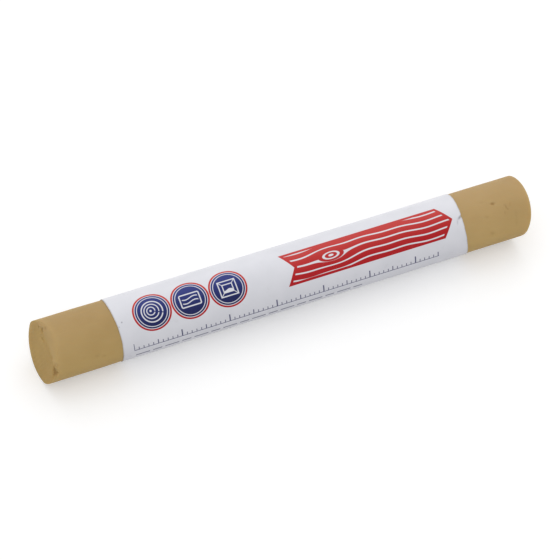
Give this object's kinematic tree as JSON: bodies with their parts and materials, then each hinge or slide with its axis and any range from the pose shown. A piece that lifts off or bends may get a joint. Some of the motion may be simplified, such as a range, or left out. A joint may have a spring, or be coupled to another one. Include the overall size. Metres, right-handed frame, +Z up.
{
  "type": "wood touch-up stick",
  "caption": "Round stick of coloured wax filler with slanted cut ends and a printed paper label wrapped round its middle, for rubbing into scratches in wood.",
  "frame": {"origin": "under the middle of the stick's length, on the plane that the stick lies on", "axes": "+X along the stick from the scraped end to the plain end, +Z up, away from the gap between the label's edges"},
  "size_m": [0.1046, 0.013, 0.0128],
  "materials": {
    "wax": "satin",
    "adhesive": "matte",
    "label_paper": "satin"
  },
  "bodies": {
    "root": {"filler_stick": "wax", "label_adhesive": "adhesive", "wrap_label": "label_paper"}
  },
  "joints": []
}
